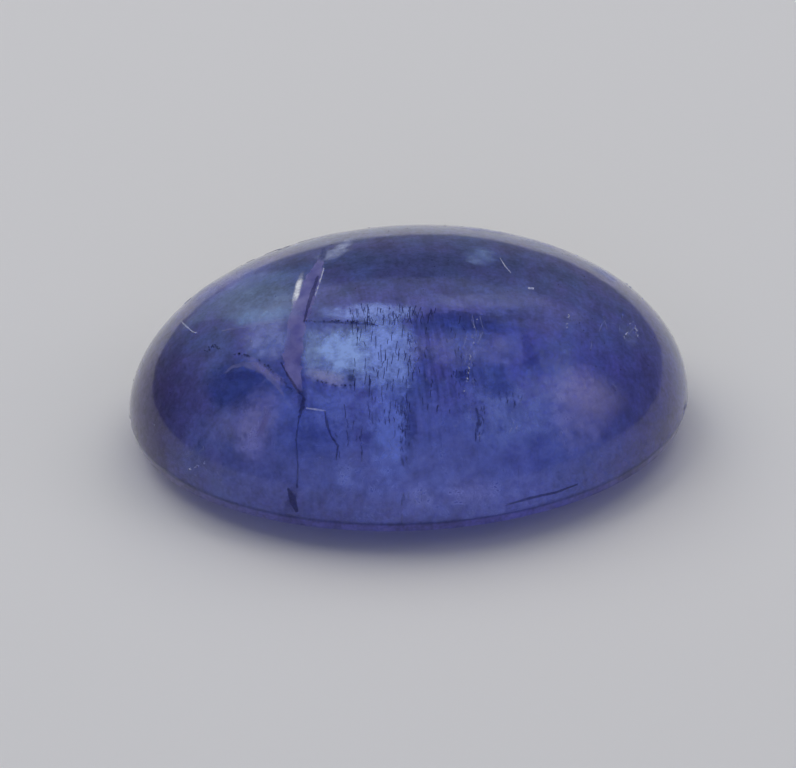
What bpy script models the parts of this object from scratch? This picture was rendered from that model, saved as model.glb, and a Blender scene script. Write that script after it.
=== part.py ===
"""An oval tanzanite cabochon: high polished dome, narrow girdle band, low convex back with a small flat spot.

The stone is one turned solid squeezed to an oval. X is its length, Y its width and +Z points up through
the dome. The origin is under the middle of the stone, on the surface that it rests on. Units are metres.
"""

import math

import bmesh
import bpy
from mathutils import Matrix

# Driving dimensions
STONE_LENGTH = 0.0120
STONE_WIDTH = 0.0091
DOME_HEIGHT = 0.00339
GIRDLE_BAND_HEIGHT = 0.00022
GIRDLE_BAND_TAPER = 0.00006
BACK_DEPTH = 0.00050
FLAT_SPOT_LENGTH = 0.0032

# Fineness of the turned surface
TURN_STEPS = 80
DOME_RINGS = 24
BACK_RINGS = 6
MERGE_DISTANCE = 0.000001
SHARP_EDGE_ANGLE = math.radians(40)

# Finish of the polished stone
VIOLET_BLUE = (0.045, 0.050, 0.260, 1.0)
POLISH_ROUGHNESS = 0.06
TANZANITE_IOR = 1.69
BODY_TRANSMISSION = 0.85

GIRDLE_RADIUS = STONE_LENGTH / 2
GIRDLE_HEIGHT = BACK_DEPTH + GIRDLE_BAND_HEIGHT


def clear_scene():
    """Remove every object, so that the stone is alone."""
    for obj in list(bpy.data.objects):
        bpy.data.objects.remove(obj, do_unlink=True)


def dome_points():
    """A quarter of an ellipse from the top of the dome down to the girdle's upper edge."""
    points = []
    for ring in range(DOME_RINGS + 1):
        angle = math.pi / 2 * (1 - ring / DOME_RINGS)
        radius = GIRDLE_RADIUS * math.cos(angle) if ring else 0.0
        points.append((radius, 0.0, GIRDLE_HEIGHT + DOME_HEIGHT * math.sin(angle)))
    return points


def back_points():
    """A shallow curve from the girdle's lower edge in to the flat spot, and across it to the axis."""
    edge_radius = GIRDLE_RADIUS - GIRDLE_BAND_TAPER
    flat_radius = FLAT_SPOT_LENGTH / 2
    points = []
    for ring in range(BACK_RINGS + 1):
        share = 1 - ring / BACK_RINGS
        radius = flat_radius + (edge_radius - flat_radius) * share
        points.append((radius, 0.0, BACK_DEPTH * share**2))
    points.append((0.0, 0.0, 0.0))
    return points


def half_profile():
    """The stone's half section at +X, from the top of the dome to the middle of the flat spot."""
    outline = bmesh.new()
    corners = [outline.verts.new(point) for point in dome_points() + back_points()]
    for upper, lower in zip(corners, corners[1:]):
        outline.edges.new((upper, lower))
    mesh = bpy.data.meshes.new("half_profile")
    outline.to_mesh(mesh)
    outline.free()
    return mesh


def turn(profile_object):
    """Turn the profile about Z and return the closed round form as a mesh."""
    screw = profile_object.modifiers.new("turn", "SCREW")
    screw.steps = TURN_STEPS
    screw.render_steps = TURN_STEPS
    screw.use_merge_vertices = True
    screw.merge_threshold = MERGE_DISTANCE
    graph = bpy.context.evaluated_depsgraph_get()
    return bpy.data.meshes.new_from_object(profile_object.evaluated_get(graph))


def polished_tanzanite():
    """Violet-blue zoisite with a glassy polish that lets some light through."""
    material = bpy.data.materials.new("polished_tanzanite")
    material.use_nodes = True
    shader = material.node_tree.nodes["Principled BSDF"]
    shader.inputs["Base Color"].default_value = VIOLET_BLUE
    shader.inputs["Metallic"].default_value = 0.0
    shader.inputs["Roughness"].default_value = POLISH_ROUGHNESS
    shader.inputs["IOR"].default_value = TANZANITE_IOR
    shader.inputs["Transmission Weight"].default_value = BODY_TRANSMISSION
    return material


def build_stone(collection):
    """The whole cabochon as one object: turned round, then squeezed across to its oval."""
    blank = bpy.data.objects.new("turned_blank", half_profile())
    collection.objects.link(blank)
    mesh = turn(blank)
    mesh.name = "tanzanite"
    bpy.data.objects.remove(blank, do_unlink=True)
    mesh.transform(Matrix.Diagonal((1.0, STONE_WIDTH / STONE_LENGTH, 1.0, 1.0)))
    mesh.shade_smooth()
    mesh.set_sharp_from_angle(angle=SHARP_EDGE_ANGLE)
    mesh.materials.clear()
    mesh.materials.append(polished_tanzanite())
    stone = bpy.data.objects.new("tanzanite", mesh)
    collection.objects.link(stone)
    return stone


def main():
    """Build the cabochon in a collection of its own."""
    clear_scene()
    collection = bpy.data.collections.new("tanzanite_cabochon")
    bpy.context.scene.collection.children.link(collection)
    build_stone(collection)


main()
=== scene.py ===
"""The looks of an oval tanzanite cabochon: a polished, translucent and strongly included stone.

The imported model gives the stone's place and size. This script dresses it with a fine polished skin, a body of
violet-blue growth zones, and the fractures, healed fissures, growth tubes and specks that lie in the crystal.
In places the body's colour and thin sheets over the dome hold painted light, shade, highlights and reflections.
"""

import logging
import math
import random
from collections.abc import Sequence
from dataclasses import dataclass, replace
from enum import Enum
from functools import cache
from typing import Any

import bmesh
import bpy
from mathutils import Matrix, Vector, noise


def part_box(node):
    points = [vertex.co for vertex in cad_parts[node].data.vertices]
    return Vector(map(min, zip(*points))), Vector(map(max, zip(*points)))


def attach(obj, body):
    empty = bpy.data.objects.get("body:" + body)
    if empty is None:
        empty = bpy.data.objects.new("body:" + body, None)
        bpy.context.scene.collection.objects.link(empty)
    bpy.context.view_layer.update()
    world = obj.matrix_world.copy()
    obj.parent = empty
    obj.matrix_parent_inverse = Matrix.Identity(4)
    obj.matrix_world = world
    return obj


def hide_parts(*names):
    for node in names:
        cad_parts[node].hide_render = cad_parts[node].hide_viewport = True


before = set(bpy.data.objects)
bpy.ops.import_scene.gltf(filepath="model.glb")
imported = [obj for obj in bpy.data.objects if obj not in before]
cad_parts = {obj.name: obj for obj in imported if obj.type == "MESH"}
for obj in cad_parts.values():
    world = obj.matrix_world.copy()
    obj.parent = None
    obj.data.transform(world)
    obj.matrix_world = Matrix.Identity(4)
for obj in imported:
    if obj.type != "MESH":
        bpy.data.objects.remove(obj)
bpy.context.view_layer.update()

log = logging.getLogger("tanzanite_cabochon")

MM = 0.001
STONE = "tanzanite"
BODY = "root"
FRAME_WIDTH = 796
FRAME_HEIGHT = 768
SENSOR_WIDTH = 36.0
TANZANITE_IOR = 1.69
POLISH_IOR = 1.5
POLISH_ROUGHNESS = 0.015

# Sockets that share a name with another one of their node, by place
MIX_A, MIX_B, MIX_RESULT = 6, 7, 2
RANGE_FROM_MIN, RANGE_FROM_MAX, RANGE_TO_MIN, RANGE_TO_MAX = 7, 8, 9, 10
RANDOM_NUMBER = 1

Pixel = tuple[float, float]
Line = tuple[Pixel, ...]
Colour = tuple[float, float, float, float]


class Tone(Enum):
    """Colours that the crystal's growth zones show, and painted light, shade and reflection, as sRGB hex."""

    BODY_BLUE = "#87a0e6"
    BODY_VIOLET = "#9490e2"
    # Clearer crystal, made paler by painted light that comes through it
    CLEAR_AND_LIT_BLUE = "#b9d0ff"
    # Painted reflection: the steel-blue reflection of the blue window box at the upper left
    PAINTED_STEEL_REFLECTION = "#b8d0e8"
    NAVY = "#4660b6"
    DEEP_NAVY = "#2b3a8c"
    INDIGO = "#857dd0"
    PLUM_DARK = "#5b4590"
    # Painted light: the violet glow painted on the band and the back under the girdle
    GLOW = "#b7a8f4"
    # Painted light: light from the floor that shows through the stone's lower half
    PAINTED_FLOOR_GLOW = "#aab4ff"


def linear(hex_code: str) -> Colour:
    """Turn an sRGB hex colour to linear values.

    Args:
        hex_code: the colour, such as "#6f7cc8".

    Returns:
        Linear red, green and blue, and an alpha of 1.
    """
    channels = [int(hex_code[start : start + 2], 16) / 255 for start in (1, 3, 5)]
    values = [c / 12.92 if c <= 0.04045 else ((c + 0.055) / 1.055) ** 2.4 for c in channels]
    return (*values, 1.0)


def add(tree: bpy.types.NodeTree, kind: str, settings: dict[str, Any] | None = None,
        inputs: dict[Any, Any] | None = None) -> bpy.types.Node:
    """Add a node with its settings, and its inputs as plain values or links.

    Args:
        tree: the shader or geometry tree.
        kind: the node's type name.
        settings: the node's properties by name.
        inputs: a value, or a socket to link, for each input by name or place.

    Returns:
        The new node.
    """
    node = tree.nodes.new(kind)
    for name, value in (settings or {}).items():
        setattr(node, name, value)
    for key, value in (inputs or {}).items():
        if isinstance(value, bpy.types.NodeSocket):
            tree.links.new(value, node.inputs[key])
        else:
            node.inputs[key].default_value = value
    return node


@dataclass(frozen=True)
class Mottle:
    """A noise pattern: its real size, its fineness, and the values that it is stretched to.

    The noise lies round 0.5, and the part of it within the spread on either side is used.
    """

    size: float
    detail: float
    roughness: float
    spread: float
    low: float = 0.0
    high: float = 1.0
    easing: str = "LINEAR"

    def values(self, tree: bpy.types.NodeTree, place: bpy.types.NodeSocket) -> bpy.types.NodeSocket:
        """Add the noise and the range that it is stretched to.

        Args:
            tree: the material's tree.
            place: the coordinates that the noise reads.

        Returns:
            A socket from low to high.
        """
        pattern = add(tree, "ShaderNodeTexNoise", inputs={
            "Vector": place, "Scale": 1 / self.size, "Detail": self.detail, "Roughness": self.roughness})
        return add(tree, "ShaderNodeMapRange", {"interpolation_type": self.easing}, {
            "Value": pattern.outputs["Fac"], "From Min": 0.5 - self.spread, "From Max": 0.5 + self.spread,
            "To Min": self.low, "To Max": self.high}).outputs["Result"]


@dataclass(frozen=True)
class PhotoView:
    """The camera's place, and the ways from a pixel of the photograph into the stone.

    The pixels are those of the 796 by 768 frame.
    """

    azimuth: float = math.radians(-7.77)
    elevation: float = math.radians(34.0)
    distance: float = 0.180
    pixels_per_metre: float = 46750.0
    girdle_middle_pixel: Pixel = (409.1, 401.2)
    girdle_middle_height: float = 0.72 * MM
    clip_start: float = 0.009

    @property
    def right(self) -> Vector:
        """The picture's right, as a unit vector."""
        return Vector((math.cos(self.azimuth), math.sin(self.azimuth), 0.0))

    @property
    def back(self) -> Vector:
        """The way from the stone to the camera."""
        level = math.cos(self.elevation)
        return Vector((math.sin(self.azimuth) * level, -math.cos(self.azimuth) * level,
                       math.sin(self.elevation)))

    @property
    def up(self) -> Vector:
        """The picture's upward direction."""
        return self.back.cross(self.right)

    @property
    def away(self) -> Vector:
        """The level direction from the camera to behind the stone."""
        return Vector((-math.sin(self.azimuth), math.cos(self.azimuth), 0.0))

    @property
    def turn(self) -> Matrix:
        """The camera's rotation: its X, Y and Z axes as columns."""
        return Matrix((self.right, self.up, self.back)).transposed()

    def on_plane(self, pixel: Pixel) -> Vector:
        """Find where a pixel meets the picture plane through the middle of the girdle.

        Args:
            pixel: the place in the frame.

        Returns:
            The point in metres.
        """
        across = (pixel[0] - self.girdle_middle_pixel[0]) / self.pixels_per_metre
        above = (self.girdle_middle_pixel[1] - pixel[1]) / self.pixels_per_metre
        middle = Vector((0.0, 0.0, self.girdle_middle_height))
        return middle + self.right * across + self.up * above

    @property
    def station(self) -> Vector:
        """The camera's own place."""
        return self.on_plane((FRAME_WIDTH / 2, FRAME_HEIGHT / 2)) + self.back * self.distance

    def toward(self, azimuth: float, elevation: float) -> tuple[Vector, Vector]:
        """Turn two angles in degrees into a direction: azimuth 0 is behind the stone, 90 is the right.

        Args:
            azimuth: the angle round the stone.
            elevation: the angle over the floor.

        Returns:
            The direction, and the level direction under it.
        """
        around, above = math.radians(azimuth), math.radians(elevation)
        level = self.right * math.sin(around) + self.away * math.cos(around)
        return level * math.cos(above) + Vector((0.0, 0.0, math.sin(above))), level

    def make_camera(self) -> None:
        """Make the scene's camera at the photograph's angle."""
        data = bpy.data.cameras.new("camera")
        data.sensor_width = SENSOR_WIDTH
        data.lens = SENSOR_WIDTH * self.distance * self.pixels_per_metre / FRAME_WIDTH
        data.clip_start = self.clip_start
        camera = bpy.data.objects.new("camera", data)
        camera.location = self.station
        camera.rotation_euler = self.turn.to_euler()
        bpy.context.scene.collection.objects.link(camera)
        bpy.context.scene.camera = camera


@dataclass(frozen=True)
class CabochonForm:
    """The stone's sizes in metres, and points on and under its dome."""

    half_length: float
    half_width: float
    height: float
    view: PhotoView
    back_depth: float = 0.50 * MM
    band_height: float = 0.22 * MM
    band_taper: float = 0.06 * MM
    flat_spot_half: float = 1.60 * MM

    @classmethod
    def from_frame(cls, view: PhotoView) -> "CabochonForm":
        """Read the stone's length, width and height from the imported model.

        Args:
            view: the camera's view.

        Returns:
            The form.
        """
        low, high = (Vector(corner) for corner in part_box(STONE))
        size = high - low
        return cls(size.x / 2, size.y / 2, size.z, view)

    @property
    def girdle_height(self) -> float:
        """The height of the girdle's upper edge."""
        return self.back_depth + self.band_height

    @property
    def semi_axes(self) -> Vector:
        """The half length, half width and height of the dome above the girdle."""
        return Vector((self.half_length, self.half_width, self.height - self.girdle_height))

    def meet(self, pixel: Pixel) -> tuple[Vector, Vector, bool]:
        """Follow a pixel's line of sight to the dome, squashed to a half-sphere of radius 1.

        A line that misses the dome is led to the nearest place on it, at the horizon or the girdle.

        Args:
            pixel: a place in the frame.

        Returns:
            The place on the half-sphere, the view's direction in metres, and whether the line meets the dome.
        """
        axes = self.semi_axes
        start = self.view.station
        sight = (self.view.on_plane(pixel) - start).normalized()
        middle = Vector((0.0, 0.0, self.girdle_height))
        squashed_start = Vector(a / b for a, b in zip(start - middle, axes))
        squashed_sight = Vector(a / b for a, b in zip(sight, axes))
        square = squashed_sight.dot(squashed_sight)
        half = squashed_start.dot(squashed_sight)
        inside = half * half - square * (squashed_start.dot(squashed_start) - 1.0)
        reach = (-half - math.sqrt(max(inside, 0.0))) / square
        place = squashed_start + squashed_sight * reach
        met = inside >= 0.0 and place.z >= 0.0
        place.z = max(place.z, 0.0)
        return place.normalized(), sight, met

    def on_dome(self, pixel: Pixel) -> tuple[Vector, Vector, Vector]:
        """Find where the dome shows a pixel of the photograph.

        Args:
            pixel: a place on the stone in the frame.

        Returns:
            The point on the dome, its outward normal, and the view's direction there.
        """
        place, sight, _ = self.meet(pixel)
        axes = self.semi_axes
        point = Vector(a * b for a, b in zip(place, axes)) + Vector((0.0, 0.0, self.girdle_height))
        normal = Vector(a / b for a, b in zip(place, axes)).normalized()
        return point, normal, sight

    def under_dome(self, pixel: Pixel, depth: float) -> Vector:
        """Follow a pixel's line of sight into the stone, bent as the crystal bends it.

        Args:
            pixel: a place on the stone in the frame.
            depth: how far along the bent line, in metres; below zero is outside, along the normal.

        Returns:
            The point in metres.
        """
        point, normal, sight = self.on_dome(pixel)
        if depth <= 0.0:
            return point - normal * depth
        ratio = 1.0 / TANZANITE_IOR
        facing = -normal.dot(sight)
        along = math.sqrt(1.0 - ratio**2 * (1.0 - facing**2))
        bent = sight * ratio + normal * (ratio * facing - along)
        return point + bent.normalized() * depth


@dataclass(frozen=True)
class GrowthAndPaintedLightZone:
    """A patch of the crystal with a colour of its own; some patches are painted light, painted shade or a
    painted reflection.

    The middle and the reach are pixels of the photograph, and the patch goes some way into the stone.
    """

    middle: Pixel
    reach: Pixel
    tone: Tone
    strength: float
    softness: float
    depth: float = 2.2 * MM


# Each zone lies over those before it: first the broad changes, then the small patches. Some are painted light,
# painted shade and painted reflections, as their names say
ZONES = {
    "plum at the left end": GrowthAndPaintedLightZone((146, 410), (50, 110), Tone.PLUM_DARK, 0.9, 0.9),
    "indigo at the right end": GrowthAndPaintedLightZone((655, 420), (70, 110), Tone.INDIGO, 0.8, 1.0),
    "indigo heart of the right end": GrowthAndPaintedLightZone((629, 420), (34, 44), Tone.INDIGO, 0.6, 0.9),
    # Painted light: the lower half lightened by the light that comes up from the floor
    "painted glow off the floor": GrowthAndPaintedLightZone((410, 470), (260, 64), Tone.PAINTED_FLOOR_GLOW, 0.85, 1.0),
    # The crystal's own violet, laid strongly along the lower edge, where it also stands for a painted glow of
    # light through the thin edge
    "violet and painted glow along the lower edge": GrowthAndPaintedLightZone((400, 512), (250, 26), Tone.BODY_VIOLET, 0.6, 1.0),
    # Painted reflection: the steel-blue reflection of the blue window at the upper left
    "painted steel-blue reflection at the upper left": GrowthAndPaintedLightZone((262, 302), (48, 24), Tone.PAINTED_STEEL_REFLECTION, 0.7, 0.6),
    "navy over the top": GrowthAndPaintedLightZone((432, 268), (116, 26), Tone.NAVY, 0.55, 0.9),
    # Painted shade: a navy bar and a darker line just under the reflection of the tent roof
    "painted shade bar under the tent roof's reflection": GrowthAndPaintedLightZone((470, 321), (60, 12), Tone.NAVY, 0.75, 0.7),
    "painted dark edge under the tent roof's reflection": GrowthAndPaintedLightZone((480, 316), (76, 5), Tone.DEEP_NAVY, 0.5, 0.8),
    "dark dome at the left": GrowthAndPaintedLightZone((238, 386), (34, 24), Tone.NAVY, 0.85, 0.5),
    # Partly clearer crystal, partly painted light: light from the boxes behind shines through the window
    "clear window with painted light beside the fracture": GrowthAndPaintedLightZone((360, 352), (56, 38), Tone.CLEAR_AND_LIT_BLUE, 0.9, 0.4),
    "navy under the fracture": GrowthAndPaintedLightZone((312, 436), (30, 32), Tone.NAVY, 0.75, 0.7),
    "plum wedge under the window": GrowthAndPaintedLightZone((362, 424), (12, 32), Tone.PLUM_DARK, 0.7, 0.6),
    "navy column under the window": GrowthAndPaintedLightZone((407, 425), (6, 32), Tone.DEEP_NAVY, 0.6, 0.6),
}
# Only the mask of this one is used: the growth streaks are strongest in it
STREAKED_ZONE = GrowthAndPaintedLightZone((408, 366), (92, 86), Tone.NAVY, 0.7, 1.0)


@dataclass(frozen=True)
class PolishedTanzanite:
    """Zoisite coloured by vanadium, domed on a wheel and polished with fine oxide.

    The polish gives a sharp, weak reflection. Under it the crystal is hazy with healed fissures, so light
    goes through it softly and its blue deepens with the way that light takes. Its colour also holds painted
    light, shade and reflection in places.
    """

    form: CabochonForm
    haze: float = 0.34
    specular_level: float = 0.05
    inner_glint: str = "#0a1440"
    absorption_colour: str = "#599ee7"
    absorption_per_metre: float = 430.0
    transmission: float = 0.78
    clouds: Mottle = Mottle(1.1 * MM, detail=2.0, roughness=0.6, spread=0.20, easing="SMOOTHSTEP")
    mottle: Mottle = Mottle(0.42 * MM, detail=3.0, roughness=0.65, spread=0.17, low=0.68, high=1.32)
    grains: Mottle = Mottle(0.09 * MM, detail=1.0, roughness=0.7, spread=0.20, low=0.78, high=1.22)
    streaks: Mottle = Mottle(0.11 * MM, detail=3.0, roughness=0.7, spread=0.18, low=0.35, high=1.6)
    streak_length: float = 10.0
    streaks_everywhere: float = 0.15
    wander: float = 0.5 * MM
    wander_detail: float = 3.0
    wander_roughness: float = 0.75
    wander_reach: float = 0.6 * MM
    zone_fade_out: float = 0.5
    zone_fade_in: float = 0.8
    # The girdle's painted shade, a dark line at its upper edge, and the painted violet glow under it
    girdle_line: float = 0.08 * MM
    girdle_line_drop: float = 0.01 * MM
    girdle_shade_darkness: float = 0.7
    under_fade: float = 0.08 * MM
    painted_under_glow: float = 0.5
    wave_size: float = 0.8 * MM
    wave_share: float = 6.0
    scratch_spacing: float = 0.06 * MM
    scratch_height: float = 0.0015 * MM

    def make(self) -> bpy.types.Material:
        """Build the stone's material.

        Returns:
            The material.
        """
        material = bpy.data.materials.new("polished_tanzanite")
        material.use_nodes = True
        tree = material.node_tree
        tree.nodes.clear()
        place = add(tree, "ShaderNodeTexCoord").outputs["Object"]
        relief = self.polish_relief(tree, place)
        shader = add(tree, "ShaderNodeBsdfPrincipled", inputs={
            "Base Color": self.body_colour(tree, place), "Roughness": self.haze, "IOR": TANZANITE_IOR,
            "Transmission Weight": self.transmission, "Coat Weight": 1.0,
            "Coat Roughness": POLISH_ROUGHNESS, "Coat IOR": POLISH_IOR,
            "Specular IOR Level": self.specular_level, "Specular Tint": linear(self.inner_glint),
            "Normal": relief, "Coat Normal": relief})
        depth = add(tree, "ShaderNodeVolumeAbsorption", inputs={
            "Color": linear(self.absorption_colour), "Density": self.absorption_per_metre})
        add(tree, "ShaderNodeOutputMaterial", inputs={
            "Surface": shader.outputs["BSDF"], "Volume": depth.outputs["Volume"]})
        return material

    def body_colour(self, tree: bpy.types.NodeTree, place: bpy.types.NodeSocket) -> bpy.types.NodeSocket:
        """Mix clouds, growth zones and zones of painted light and shade, and lay the girdle's painted shade and
        glow, the mottle and the streaks over them.

        Args:
            tree: the material's tree.
            place: object coordinates.

        Returns:
            The colour socket.
        """
        ragged = self.ragged_place(tree, place)
        colour = add(tree, "ShaderNodeMix", {"data_type": "RGBA"}, {
            "Factor": self.clouds.values(tree, place), MIX_A: linear(Tone.BODY_BLUE.value),
            MIX_B: linear(Tone.BODY_VIOLET.value)}).outputs[MIX_RESULT]
        for name, zone in ZONES.items():
            colour = add(tree, "ShaderNodeMix", {"data_type": "RGBA", "label": name}, {
                "Factor": self.zone_mask(tree, ragged, zone), MIX_A: colour,
                MIX_B: linear(zone.tone.value)}).outputs[MIX_RESULT]
        colour = self.with_girdle_shade_and_glow(tree, place, colour)
        shade = add(tree, "ShaderNodeMath", {"operation": "MULTIPLY"}, {
            0: self.mottle.values(tree, place), 1: self.grains.values(tree, place)}).outputs[0]
        return self.with_streaks(tree, place, self.shaded(tree, colour, shade, 1.0))

    def ragged_place(self, tree: bpy.types.NodeTree, place: bpy.types.NodeSocket) -> bpy.types.NodeSocket:
        """Shift the place a little by noise, so that zone borders are irregular.

        Args:
            tree: the material's tree.
            place: object coordinates.

        Returns:
            The shifted coordinates.
        """
        wander = add(tree, "ShaderNodeTexNoise", inputs={
            "Vector": place, "Scale": 1 / self.wander, "Detail": self.wander_detail,
            "Roughness": self.wander_roughness})
        centred = add(tree, "ShaderNodeVectorMath", {"operation": "SUBTRACT"}, {
            0: wander.outputs["Color"], 1: (0.5, 0.5, 0.5)})
        shift = add(tree, "ShaderNodeVectorMath", {"operation": "SCALE"}, {
            0: centred.outputs["Vector"], "Scale": self.wander_reach})
        return add(tree, "ShaderNodeVectorMath", {"operation": "ADD"}, {
            0: place, 1: shift.outputs["Vector"]}).outputs["Vector"]

    def zone_mask(self, tree: bpy.types.NodeTree, place: bpy.types.NodeSocket,
                  zone: GrowthAndPaintedLightZone) -> bpy.types.NodeSocket:
        """Make the soft mask of one zone, an ellipsoid that faces the camera's side.

        Args:
            tree: the material's tree.
            place: the coordinates that the mask reads.
            zone: the patch.

        Returns:
            A socket from 0 outside the patch to its strength inside.
        """
        view = self.form.view
        local = add(tree, "ShaderNodeMapping", {"vector_type": "TEXTURE"}, {
            "Vector": place, "Location": self.form.on_dome(zone.middle)[0],
            "Rotation": view.turn.to_euler(), "Scale": (
                zone.reach[0] / view.pixels_per_metre, zone.reach[1] / view.pixels_per_metre, zone.depth)})
        distance = add(tree, "ShaderNodeVectorMath", {"operation": "LENGTH"}, {
            0: local.outputs["Vector"]})
        return add(tree, "ShaderNodeMapRange", {"interpolation_type": "SMOOTHSTEP"}, {
            "Value": distance.outputs["Value"], "From Min": 1.0 + self.zone_fade_out * zone.softness,
            "From Max": 1.0 - self.zone_fade_in * zone.softness,
            "To Max": zone.strength}).outputs["Result"]

    def with_streaks(self, tree: bpy.types.NodeTree, place: bpy.types.NodeSocket,
                     colour: bpy.types.NodeSocket) -> bpy.types.NodeSocket:
        """Lay the fine growth streaks over the colour.

        The streaks run down the stone, side by side along X, and are strongest in the streaked zone.

        Args:
            tree: the material's tree.
            place: object coordinates.
            colour: the colour without streaks.

        Returns:
            The streaked colour.
        """
        stretched = add(tree, "ShaderNodeMapping", inputs={
            "Vector": place, "Scale": (1.0, 1 / self.streak_length, 1 / self.streak_length)})
        shade = self.streaks.values(tree, stretched.outputs["Vector"])
        amount = add(tree, "ShaderNodeMath", {"operation": "ADD", "use_clamp": True}, {
            0: self.zone_mask(tree, place, STREAKED_ZONE), 1: self.streaks_everywhere})
        return self.shaded(tree, colour, shade, amount.outputs[0])

    def with_girdle_shade_and_glow(self, tree: bpy.types.NodeTree, place: bpy.types.NodeSocket,
                    colour: bpy.types.NodeSocket) -> bpy.types.NodeSocket:
        """Paint shade along the girdle's upper edge as a dark line, and paint a violet glow of light on the
        thin back under it.

        Args:
            tree: the material's tree.
            place: object coordinates.
            colour: the colour of the zones, painted light and shade among them.

        Returns:
            The colour with the girdle's painted shade line and painted glow on it.
        """
        edge = self.form.girdle_height
        height = add(tree, "ShaderNodeSeparateXYZ", inputs={0: place}).outputs["Z"]
        under = add(tree, "ShaderNodeMapRange", {"interpolation_type": "SMOOTHSTEP"}, {
            "Value": height, "From Min": edge, "From Max": edge - self.under_fade,
            "To Max": self.painted_under_glow})
        # Painted light: the band and back under the girdle glow violet
        violet = add(tree, "ShaderNodeMix", {"data_type": "RGBA"}, {
            "Factor": under.outputs["Result"], MIX_A: colour,
            MIX_B: linear(Tone.GLOW.value)}).outputs[MIX_RESULT]
        offset = add(tree, "ShaderNodeMath", {"operation": "SUBTRACT"}, {
            0: height, 1: edge - self.girdle_line_drop})
        distance = add(tree, "ShaderNodeMath", {"operation": "ABSOLUTE"}, {0: offset.outputs[0]})
        # Painted shade: a dark line along the girdle's edge
        line = add(tree, "ShaderNodeMapRange", {"interpolation_type": "SMOOTHSTEP"}, {
            "Value": distance.outputs[0], "From Min": self.girdle_line, "From Max": 0.0,
            "To Max": self.girdle_shade_darkness})
        return add(tree, "ShaderNodeMix", {"data_type": "RGBA"}, {
            "Factor": line.outputs["Result"], MIX_A: violet,
            MIX_B: linear(Tone.DEEP_NAVY.value)}).outputs[MIX_RESULT]

    def shaded(self, tree: bpy.types.NodeTree, colour: bpy.types.NodeSocket,
               shade: bpy.types.NodeSocket, amount: bpy.types.NodeSocket | float) -> bpy.types.NodeSocket:
        """Multiply a colour by a grey.

        Args:
            tree: the material's tree.
            colour: the colour.
            shade: the grey's value, 1 for no change.
            amount: how much of the change is made.

        Returns:
            The darker or lighter colour.
        """
        grey = add(tree, "ShaderNodeCombineColor", inputs={"Red": shade, "Green": shade, "Blue": shade})
        return add(tree, "ShaderNodeMix", {"data_type": "RGBA", "blend_type": "MULTIPLY"}, {
            "Factor": amount, MIX_A: colour, MIX_B: grey.outputs["Color"]}).outputs[MIX_RESULT]

    def polish_relief(self, tree: bpy.types.NodeTree, place: bpy.types.NodeSocket) -> bpy.types.NodeSocket:
        """Faint waves and scratches that the polishing wheel leaves.

        Args:
            tree: the material's tree.
            place: object coordinates.

        Returns:
            The bumped normal.
        """
        wave, fine = (add(tree, "ShaderNodeTexNoise", inputs={
            "Vector": place, "Scale": 1 / size}) for size in (self.wave_size, self.scratch_spacing))
        height = add(tree, "ShaderNodeMath", {"operation": "MULTIPLY_ADD"}, {
            0: wave.outputs["Fac"], 1: self.wave_share, 2: fine.outputs["Fac"]})
        return add(tree, "ShaderNodeBump", inputs={
            "Strength": 1.0, "Distance": self.scratch_height, "Height": height.outputs["Value"]
        }).outputs["Normal"]


@dataclass(frozen=True)
class InclusionFinish:
    """A film, tube or grain in the crystal: two tones that change over a grain's size."""

    name: str
    dark: str
    light: str
    roughness: float
    grain: float
    alpha: float

    def make(self) -> bpy.types.Material:
        """Build the material.

        Returns:
            The material.
        """
        material = bpy.data.materials.new(self.name)
        material.use_nodes = True
        tree = material.node_tree
        shader = tree.nodes["Principled BSDF"]
        place = add(tree, "ShaderNodeTexCoord").outputs["Object"]
        speckle = Mottle(self.grain, detail=3.0, roughness=0.5, spread=0.15).values(tree, place)
        colour = add(tree, "ShaderNodeMix", {"data_type": "RGBA"}, {
            "Factor": speckle, MIX_A: linear(self.dark), MIX_B: linear(self.light)})
        tree.links.new(colour.outputs[MIX_RESULT], shader.inputs["Base Color"])
        shader.inputs["Roughness"].default_value = self.roughness
        shader.inputs["Alpha"].default_value = self.alpha
        return material


# A crack that is open and holds air: light turns back at it, so it shows as a lavender band
AIR_FILM = InclusionFinish("air_filled_fracture", "#6a66b4", "#9490d2", 0.35, 0.30 * MM, 0.56)
# A film of trapped fluid, left as a crack healed: its drops scatter light, so it shows as a white flash
FLUID_FILM = InclusionFinish("pale_fluid_film", "#a9b2ea", "#eef0ff", 0.5, 0.05 * MM, 0.65)
# A healed crack that lies edge on: it lets no light back, so it shows as a soft dark smear
HEALED_FILM = InclusionFinish("dark_healed_film", "#1a1e50", "#2f3476", 0.5, 0.08 * MM, 0.34)
# A hollow tube that grew along the crystal: its wall bends light away, so it shows as a dark thread
TUBE_WALL = InclusionFinish("hollow_growth_tube", "#1f2666", "#343d8c", 0.4, 0.1 * MM, 0.7)
# A grown needle of another mineral: it is clear and catches light, so it shows as a pale thread
NEEDLE = InclusionFinish("pale_needle", "#7f8cd8", "#b4bdf0", 0.5, 0.1 * MM, 0.7)
# The rim of a veil, where its drops thin out: it shows as a faint lilac arc. It also draws a painted
# reflection: the pale lower edge of the window's reflection
VEIL_EDGE = InclusionFinish("pale_veil_and_reflection_edge", "#7d80c4", "#a9a9dc", 0.5, 0.3 * MM, 0.26)


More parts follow.
